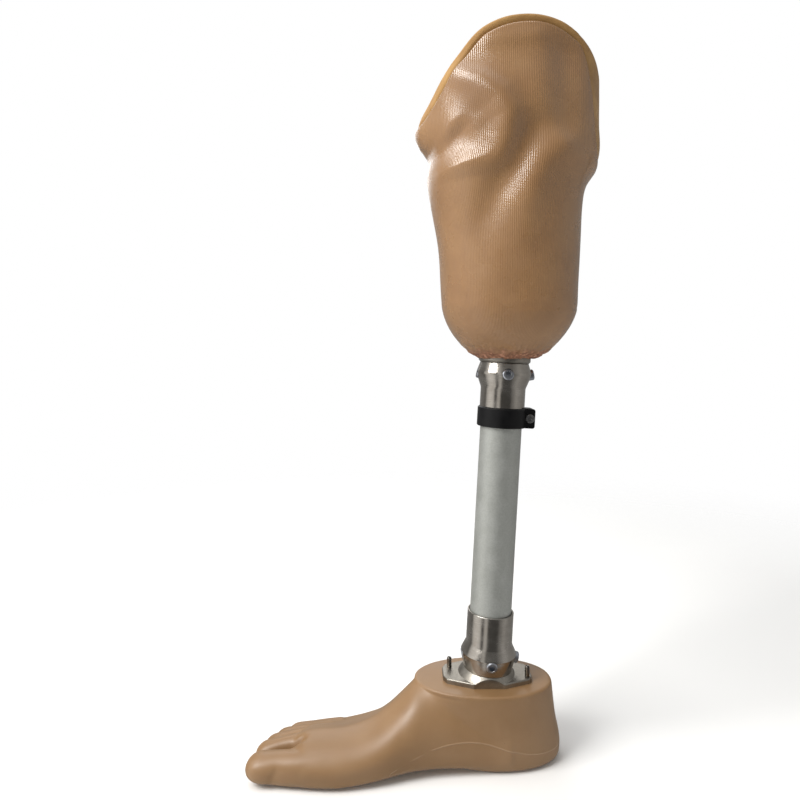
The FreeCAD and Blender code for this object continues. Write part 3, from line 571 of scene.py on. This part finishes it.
class Finish:
    """A material with a Principled shader, and short calls for the nodes in front of it."""

    def __init__(self, name, **values):
        self.material = bpy.data.materials.new(name)
        self.material.use_nodes = True
        self.tree = self.material.node_tree
        self.shader = self.tree.nodes["Principled BSDF"]
        self.place = self.node("ShaderNodeTexCoord").outputs["Object"]
        for socket, value in values.items():
            self.set(socket, value)

    def set(self, socket, value):
        self.feed(self.shader.inputs[socket.replace("_", " ")], value)

    def feed(self, socket, value):
        if isinstance(value, bpy.types.NodeSocket):
            self.tree.links.new(value, socket)
        else:
            socket.default_value = value

    def node(self, kind, inputs=None, **properties):
        made = self.tree.nodes.new(kind)
        for key, value in properties.items():
            setattr(made, key, value)
        for key, value in (inputs or {}).items():
            self.feed(made.inputs[key], value)
        return made

    def stretched(self, x, y, z):
        return self.node("ShaderNodeMapping", {"Vector": self.place, "Scale": (x, y, z)}).outputs["Vector"]

    def noise(self, scale, detail=3.0, roughness=0.5, at=None):
        inputs = {"Vector": at or self.place, "Scale": scale, "Detail": detail, "Roughness": roughness}
        return self.node("ShaderNodeTexNoise", inputs).outputs["Fac"]

    def cells(self, scale):
        inputs = {"Vector": self.place, "Scale": scale}
        return self.node("ShaderNodeTexVoronoi", inputs).outputs["Distance"]

    def ramp(self, factor, *stops):
        made = self.node("ShaderNodeValToRGB", {"Fac": factor})
        elements = made.color_ramp.elements
        while len(elements) < len(stops):
            elements.new(0.5)
        for element, (position, colour) in zip(elements, stops):
            element.position = position
            element.color = colour
        return made.outputs["Color"]

    def mix(self, factor, first, second):
        made = self.node("ShaderNodeMix", data_type="RGBA")
        for index, value in ((0, factor), (6, first), (7, second)):
            self.feed(made.inputs[index], value)
        return made.outputs[2]

    def math(self, operation, *values):
        made = self.node("ShaderNodeMath", operation=operation)
        for index, value in enumerate(values):
            self.feed(made.inputs[index], value)
        return made.outputs[0]

    def span(self, value, low, high, to_low=0.0, to_high=1.0):
        """Maps value from low..high to to_low..to_high, eased and clamped."""
        inputs = {"Value": value, "From Min": low, "From Max": high, "To Min": to_low, "To Max": to_high}
        return self.node("ShaderNodeMapRange", inputs, interpolation_type="SMOOTHSTEP").outputs["Result"]

    def axis(self, name, at=None):
        return self.node("ShaderNodeSeparateXYZ", {"Vector": at or self.place}).outputs[name]

    def bump(self, height, depth_mm, normal=None):
        inputs = {"Height": height, "Distance": depth_mm * MM, "Strength": 1.0}
        if normal is not None:
            inputs["Normal"] = normal
        return self.node("ShaderNodeBump", inputs).outputs["Normal"]

    def softened(self, radius_mm):
        """Normals as if each edge were rounded."""
        return self.node("ShaderNodeBevel", {"Radius": radius_mm * MM}, samples=6).outputs["Normal"]

    def edges(self, radius_mm):
        """1 along sharp edges, 0 elsewhere."""
        true = self.node("ShaderNodeNewGeometry").outputs["Normal"]
        dot = self.node("ShaderNodeVectorMath", operation="DOT_PRODUCT")
        self.feed(dot.inputs[0], self.softened(radius_mm))
        self.feed(dot.inputs[1], true)
        return self.span(dot.outputs["Value"], 0.995, 0.80)


# Spacing of the laminate's knitted ribs and of the stitches along them, in metres
RIB_PITCH, STITCH_PITCH = 0.00125, 0.0011


def laminate():
    """Glossy resin over a knitted stocking, with a torn edge round the anchor, a few specks and smears."""
    made = Finish("laminate", Specular_IOR_Level=0.5, Coat_Weight=0.75, Coat_Roughness=0.22, Coat_IOR=1.45)
    weave = made.node("ShaderNodeUVMap", uv_map="Weave").outputs["UV"]
    across, along = made.axis("X", weave), made.axis("Y", weave)
    wander = made.math("MULTIPLY", made.noise(14, 2), 0.0022)
    rib = made.math("SINE", made.math("MULTIPLY", made.math("ADD", across, wander), 2 * math.pi / RIB_PITCH))
    rib = made.math("MULTIPLY_ADD", rib, 0.5, 0.5)
    stitch = made.math("SINE", made.math("MULTIPLY", along, 2 * math.pi / STITCH_PITCH))
    knit = made.math("MULTIPLY", rib, made.math("MULTIPLY_ADD", stitch, 0.18, 0.82))
    patches = made.noise(26, 4, 0.55)
    streaks = made.noise(1.0, 3, 0.6, made.stretched(420, 420, 26))
    base = made.ramp(patches, (0.30, tone(136, 100, 64)), (0.50, tone(145, 108, 70)), (0.72, tone(154, 117, 78)))
    base = made.mix(made.span(streaks, 0.35, 0.7, 0, 0.26), base, tone(136, 99, 67))
    base = made.mix(made.math("MULTIPLY", rib, 0.12), base, tone(190, 150, 112))
    height = made.axis("Z")
    ragged = made.math("ADD", height, made.math("MULTIPLY", made.noise(160, 4, 0.6), 0.012))
    torn = made.span(ragged, 0.3005, 0.2945)
    torn_colour = made.ramp(made.noise(420, 4, 0.65), (0.34, tone(92, 54, 36)), (0.50, tone(139, 92, 68)),
                            (0.64, tone(196, 142, 116)))
    base = made.mix(made.math("MULTIPLY", torn, 0.85), base, torn_colour)
    specks = made.span(made.cells(300), 0.055, 0.03)
    rare = made.span(made.noise(70, 1), 0.66, 0.72)
    base = made.mix(made.math("MULTIPLY", made.math("MULTIPLY", specks, rare), 0.8), base, tone(70, 44, 28))
    made.set("Base_Color", base)
    smear = made.noise(38, 4, 0.6)
    made.set("Roughness", made.math("ADD", made.span(smear, 0.35, 0.75, 0.24, 0.40),
                                    made.math("MULTIPLY", torn, 0.45)))
    made.set("Coat_Weight", made.span(torn, 0.0, 0.7, 0.7, 0.08))
    fine = made.bump(knit, 0.11)
    wavy = made.bump(made.noise(45, 3, 0.5), 0.25, fine)
    made.set("Normal", made.bump(made.math("MULTIPLY", made.noise(900, 3, 0.7), torn), 0.5, wavy))
    thin = made.bump(knit, 0.12)
    made.set("Coat_Normal", made.bump(made.noise(60, 2, 0.5), 0.12, thin))
    return made


def foam(name, light, dark, grain_mm, depth_mm):
    """Closed-cell foam: fine cells with painted shade in their pits, a soft matt surface and slight mottling."""
    made = Finish(name, Sheen_Weight=0.15, Sheen_Roughness=0.5, Specular_IOR_Level=0.3)
    cells = made.cells(1 / (grain_mm * MM))
    pores = made.span(cells, 0.0, 0.55)
    mottle = made.noise(60, 4, 0.6)
    colour = made.ramp(mottle, (0.3, tone(*dark)), (0.7, tone(*light)))
    # Darker towards each cell's centre, where the bump makes a pit: painted shade in the pores.
    colour = made.mix(made.span(cells, 0.22, 0.05, 0, 0.35), colour, tone(*[c * 0.72 for c in dark]))
    made.set("Base_Color", colour)
    made.set("Roughness", made.span(mottle, 0.3, 0.7, 0.72, 0.92))
    made.set("Normal", made.bump(pores, depth_mm, made.bump(mottle, 0.3)))
    return made


def foot_skin_finish():
    """Satin moulded foam skin: mottled, pored, with a broken parting line and a scuffed sole."""
    made = Finish("foot_skin", Specular_IOR_Level=0.5, Coat_Weight=0.35, Coat_Roughness=0.5)
    mottle = made.noise(22, 4, 0.55)
    fine = made.noise(240, 3, 0.6)
    base = made.ramp(mottle, (0.28, tone(130, 99, 64)), (0.5, tone(138, 106, 71)), (0.74, tone(147, 115, 80)))
    base = made.mix(made.span(fine, 0.45, 0.75, 0, 0.14), base, tone(140, 100, 66))
    up = made.axis("Z", made.node("ShaderNodeNewGeometry").outputs["Normal"])
    height = made.axis("Z")
    worn = made.math("MULTIPLY", made.span(height, 0.004, 0.0), made.span(made.noise(90, 4, 0.6), 0.35, 0.65))
    base = made.mix(made.math("MULTIPLY", worn, 0.35), base, tone(112, 86, 62))
    spots = made.span(made.cells(120), 0.05, 0.02)
    rare = made.span(made.noise(40, 1), 0.64, 0.72)
    base = made.mix(made.math("MULTIPLY", made.math("MULTIPLY", spots, rare), 0.6), base, tone(96, 70, 48))
    gap = made.node("ShaderNodeAttribute", attribute_name="parting").outputs["Fac"]
    near_line = made.span(made.math("ABSOLUTE", gap), 0.7, 0.15)
    broken = made.span(made.noise(55, 2), 0.36, 0.52)
    seam = made.math("MULTIPLY", near_line, broken)
    base = made.mix(made.math("MULTIPLY", seam, 0.22), base, tone(206, 176, 146))
    made.set("Base_Color", base)
    made.set("Roughness", made.math("ADD", made.span(mottle, 0.3, 0.7, 0.36, 0.5),
                                    made.span(up, -0.4, -0.9, 0.0, 0.25)))
    pores = made.bump(fine, 0.05)
    waves = made.bump(made.noise(30, 2), 0.35, pores)
    made.set("Normal", made.bump(seam, 0.22, waves))
    return made


def steel(name, light, dark, roughness, grain, bevel_mm, stretch=None, depth_mm=0.01, wear=0.0, metal=1.0):
    """Metal with clouded roughness, a fine grain, rounded edges and bright wear on them."""
    made = Finish(name, Metallic=metal)
    clouds = made.noise(90, 4, 0.6)
    where = made.stretched(*stretch) if stretch else None
    lines = made.noise(grain, 3, 0.6, where)
    colour = made.ramp(clouds, (0.3, tone(*dark)), (0.7, tone(*light)))
    colour = made.mix(made.span(lines, 0.35, 0.7, 0, 0.25), colour, tone(*[c * 0.8 for c in dark]))
    rough = made.math("ADD", made.span(clouds, 0.3, 0.7, *roughness), made.span(lines, 0.4, 0.7, 0.0, 0.06))
    if wear:
        edge = made.edges(bevel_mm * 1.6)
        colour = made.mix(made.math("MULTIPLY", edge, wear), colour, tone(232, 228, 222))
        rough = made.math("SUBTRACT", rough, made.math("MULTIPLY", edge, 0.08))
    made.set("Base_Color", colour)
    made.set("Roughness", rough)
    made.set("Normal", made.bump(lines, depth_mm, made.softened(bevel_mm)))
    return made


def dark_coating(name, light, dark, roughness, bevel_mm, wear, metal=0.0):
    """Black oxide or paint on steel, rubbed brighter along its edges."""
    made = Finish(name, Metallic=metal, Specular_IOR_Level=0.25)
    clouds = made.noise(130, 4, 0.6)
    colour = made.ramp(clouds, (0.3, tone(*dark)), (0.7, tone(*light)))
    edge = made.math("MULTIPLY", made.edges(bevel_mm * 1.5), made.span(made.noise(300, 3, 0.6), 0.3, 0.6))
    made.set("Base_Color", made.mix(made.math("MULTIPLY", edge, wear), colour, tone(120, 118, 116)))
    made.set("Roughness", made.span(clouds, 0.3, 0.7, *roughness))
    made.set("Normal", made.bump(made.noise(700, 3, 0.6), 0.02, made.softened(bevel_mm)))
    return made


def wood():
    made = Finish("keel_wood", Roughness=0.5)
    rings = made.node("ShaderNodeTexWave", {"Vector": made.stretched(8, 60, 60), "Scale": 3.0, "Distortion": 5.0,
                                            "Detail": 3.0}).outputs["Fac"]
    made.set("Base_Color", made.ramp(rings, (0.1, tone(190, 146, 100)), (0.9, tone(222, 186, 142))))
    made.set("Normal", made.bump(rings, 0.05))
    return made


def belting():
    made = Finish("belting", Roughness=0.8)
    one = made.node("ShaderNodeTexWave", {"Vector": made.place, "Scale": 250.0}, bands_direction="X").outputs["Fac"]
    two = made.node("ShaderNodeTexWave", {"Vector": made.place, "Scale": 250.0}, bands_direction="Y").outputs["Fac"]
    weave = made.math("MULTIPLY", one, two)
    made.set("Base_Color", made.ramp(weave, (0.2, tone(186, 176, 150)), (0.8, tone(224, 216, 192))))
    made.set("Normal", made.bump(weave, 0.1))
    return made


FINISHES = {
    "laminate": laminate(),
    "liner_foam": foam("liner_foam", (178, 140, 88), (150, 110, 62), 0.55, 0.06),
    "pad_foam": foam("pad_foam", (226, 208, 178), (206, 186, 154), 0.8, 0.10),
    "rigid_foam": foam("rigid_foam", (226, 206, 160), (206, 184, 138), 0.9, 0.15),
    "heel_foam": foam("heel_foam", (70, 70, 72), (48, 48, 50), 0.7, 0.10),
    "foot_skin": foot_skin_finish(),
    "keel_wood": wood(),
    "belting": belting(),
    "stainless_cast": steel("stainless_cast", (176, 171, 162), (144, 139, 130), (0.32, 0.48), 900, 0.45,
                            depth_mm=0.05, wear=0.55),
    "stainless_turned": steel("stainless_turned", (184, 179, 172), (158, 152, 144), (0.12, 0.24), 60, 0.35,
                              (1, 1, 60), 0.006, 0.3),
    "anodised_tube": steel("anodised_tube", (178, 180, 176), (166, 168, 163), (0.40, 0.50), 900, 0.3,
                           depth_mm=0.012, metal=0.55),
    "set_screw_steel": steel("set_screw_steel", (196, 200, 208), (162, 166, 174), (0.22, 0.36), 500, 0.25,
                             depth_mm=0.01, wear=0.4),
    "spring_steel": steel("spring_steel", (160, 154, 146), (120, 114, 106), (0.22, 0.38), 500, 0.25,
                          depth_mm=0.02, wear=0.5),
    "zinc_steel": steel("zinc_steel", (190, 190, 184), (160, 160, 152), (0.26, 0.4), 500, 0.25, depth_mm=0.02),
    "black_band": dark_coating("black_band", (13, 13, 15), (7, 7, 9), (0.42, 0.56), 0.35, 0.2),
    "black_screw": dark_coating("black_screw", (150, 150, 150), (96, 96, 98), (0.22, 0.34), 0.25, 0.6, 0.9),
}


def wear_finish(thing, slot):
    """Gives an object the finish of its material slot."""
    thing.data.materials.clear()
    thing.data.materials.append(FINISHES[slot].material)


# Every CAD node that stays visible gets its finish; the pieces below replace the others.
for entry in frame["record"]["subparts"]:
    wear_finish(frame["nodes"][entry["node"]], entry["material_slot"])


# ---- pieces ------------------------------------------------------------------------------------------------
shell = make_shell()
wear_finish(shell, "laminate")
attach(shell, "socket")
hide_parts("socket_shell")

liner = make_liner()
wear_finish(liner, "liner_foam")
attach(liner, "socket")
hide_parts("foam_liner")

pad = make_pad()
wear_finish(pad, "pad_foam")
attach(pad, "socket")
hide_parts("distal_end_pad")

foot = make_foot()
wear_finish(foot, "foot_skin")
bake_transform(foot)
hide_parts("foot_foam", "forefoot_foam")


# ---- studio ------------------------------------------------------------------------------------------------
FLOOR_HALF, FLOOR_LEVEL = 3000.0, -0.15     # millimetres; just under the sole
FLOOR_FADE = (0.35, 1.1)                    # metres from the origin over which the floor turns to plain white


def studio_floor():
    """Pale floor that fades out far from the object."""
    corners = [(x * FLOOR_HALF, y * FLOOR_HALF, FLOOR_LEVEL) for x, y in ((-1, -1), (1, -1), (1, 1), (-1, 1))]
    thing = add_mesh("studio_floor", corners, [[0, 1, 2, 3]])
    made = Finish("studio_floor", Roughness=0.9, Specular_IOR_Level=0.1)
    made.set("Base_Color", made.ramp(made.noise(3, 2), (0.3, (0.90, 0.90, 0.895, 1)), (0.7, (0.92, 0.92, 0.915, 1))))
    distance = made.node("ShaderNodeVectorMath", operation="LENGTH")
    made.feed(distance.inputs[0], made.place)
    clear = made.node("ShaderNodeBsdfTransparent").outputs["BSDF"]
    blend = made.node("ShaderNodeMixShader")
    made.feed(blend.inputs[0], made.span(distance.outputs["Value"], *FLOOR_FADE))
    made.feed(blend.inputs[1], made.shader.outputs["BSDF"])
    made.feed(blend.inputs[2], clear)
    output = next(n for n in made.tree.nodes if n.type == "OUTPUT_MATERIAL")
    made.feed(output.inputs["Surface"], blend.outputs["Shader"])
    thing.data.materials.append(made.material)
    thing.visible_glossy = False


def soft_light(name, place, aim, width, height, power, colour=(1, 1, 1), mirrored=True):
    """Rectangular lamp at a place, turned to its aim; unless mirrored, glossy surfaces don't show it."""
    lamp = bpy.data.lights.new(name, "AREA")
    lamp.shape, lamp.size, lamp.size_y = "RECTANGLE", width, height
    lamp.energy, lamp.color = power, colour
    thing = bpy.data.objects.new(name, lamp)
    thing.visible_glossy = mirrored
    thing.location = place
    thing.rotation_euler = (Vector(aim) - Vector(place)).to_track_quat("-Z", "Y").to_euler()
    bpy.context.scene.collection.objects.link(thing)


# Brightness of the room round the object: share of a full turn, level
ROOM = [(0.00, 0.80), (0.03, 0.90), (0.09, 0.80), (0.115, 0.15), (0.135, 0.14), (0.155, 0.65), (0.18, 0.65),
        (0.205, 0.09), (0.33, 0.08), (0.37, 0.24), (0.43, 0.40), (0.50, 0.30), (0.60, 0.24), (0.75, 0.25),
        (0.92, 0.22), (0.955, 0.14), (0.985, 0.65), (1.00, 0.80)]


def studio_world():
    """White to the camera; a soft room with a bright side and darker gaps to the object."""
    world = bpy.data.worlds.new("studio")
    world.use_nodes = True
    tree = world.node_tree
    tree.nodes.clear()

    def node(kind, **properties):
        made = tree.nodes.new(kind)
        for key, value in properties.items():
            setattr(made, key, value)
        return made

    aim = node("ShaderNodeTexCoord")
    parts = node("ShaderNodeSeparateXYZ")
    tree.links.new(aim.outputs["Generated"], parts.inputs[0])
    turn = node("ShaderNodeMath", operation="ARCTAN2")
    tree.links.new(parts.outputs["Y"], turn.inputs[0])
    tree.links.new(parts.outputs["X"], turn.inputs[1])
    share = node("ShaderNodeMapRange")
    share.inputs["From Min"].default_value = -math.pi
    share.inputs["From Max"].default_value = math.pi
    tree.links.new(turn.outputs[0], share.inputs["Value"])
    room = node("ShaderNodeValToRGB")
    room.color_ramp.interpolation = "EASE"
    elements = room.color_ramp.elements
    while len(elements) < len(ROOM):
        elements.new(0.5)
    for element, (position, level) in zip(elements, ROOM):
        element.position = position
        element.color = (level, level * 0.985, level * 0.96, 1)
    tree.links.new(share.outputs["Result"], room.inputs["Fac"])
    rise = node("ShaderNodeMapRange", interpolation_type="SMOOTHSTEP")
    rise.inputs["From Min"].default_value = 0.25
    rise.inputs["From Max"].default_value = 0.9
    tree.links.new(parts.outputs["Z"], rise.inputs["Value"])
    dome = node("ShaderNodeMix", data_type="RGBA")
    tree.links.new(rise.outputs["Result"], dome.inputs[0])
    tree.links.new(room.outputs["Color"], dome.inputs[6])
    dome.inputs[7].default_value = (0.30, 0.30, 0.295, 1)
    lighting = node("ShaderNodeBackground")
    lighting.inputs["Strength"].default_value = 1.3
    tree.links.new(dome.outputs[2], lighting.inputs["Color"])
    white = node("ShaderNodeBackground")
    white.inputs["Color"].default_value = (1, 1, 1, 1)
    ray = node("ShaderNodeLightPath")
    choose = node("ShaderNodeMixShader")
    tree.links.new(ray.outputs["Is Camera Ray"], choose.inputs[0])
    tree.links.new(lighting.outputs[0], choose.inputs[1])
    tree.links.new(white.outputs[0], choose.inputs[2])
    output = node("ShaderNodeOutputWorld")
    tree.links.new(choose.outputs[0], output.inputs["Surface"])
    bpy.context.scene.world = world


studio_floor()
studio_world()
soft_light("key", (-1.20, -0.62, 1.45), (0.0, 0.0, 0.38), 0.85, 0.80, 32, (1.0, 0.985, 0.96))
soft_light("overhead", (-0.35, 0.0, 1.9), (0.0, 0.0, 0.2), 1.2, 1.2, 11)
soft_light("fill", (0.2, -1.9, 0.6), (0.0, 0.0, 0.3), 1.6, 1.2, 2.6, mirrored=False)
soft_light("rear", (-0.3, 1.5, 1.2), (0.0, 0.0, 0.3), 1.4, 1.0, 8)

# Level camera in front of the inner side; the small shift brings the whole leg into the square frame.
lens = bpy.data.cameras.new("camera")
lens.lens, lens.sensor_width, lens.shift_y = 27.9, 36.0, -0.06
lens.clip_start = 0.01
camera = bpy.data.objects.new("camera", lens)
camera.location = (-0.0631, -0.4539, 0.291)
camera.rotation_euler = (math.pi / 2, 0, 0)
bpy.context.scene.collection.objects.link(camera)
bpy.context.scene.camera = camera
bpy.context.scene.view_settings.view_transform = "Standard"
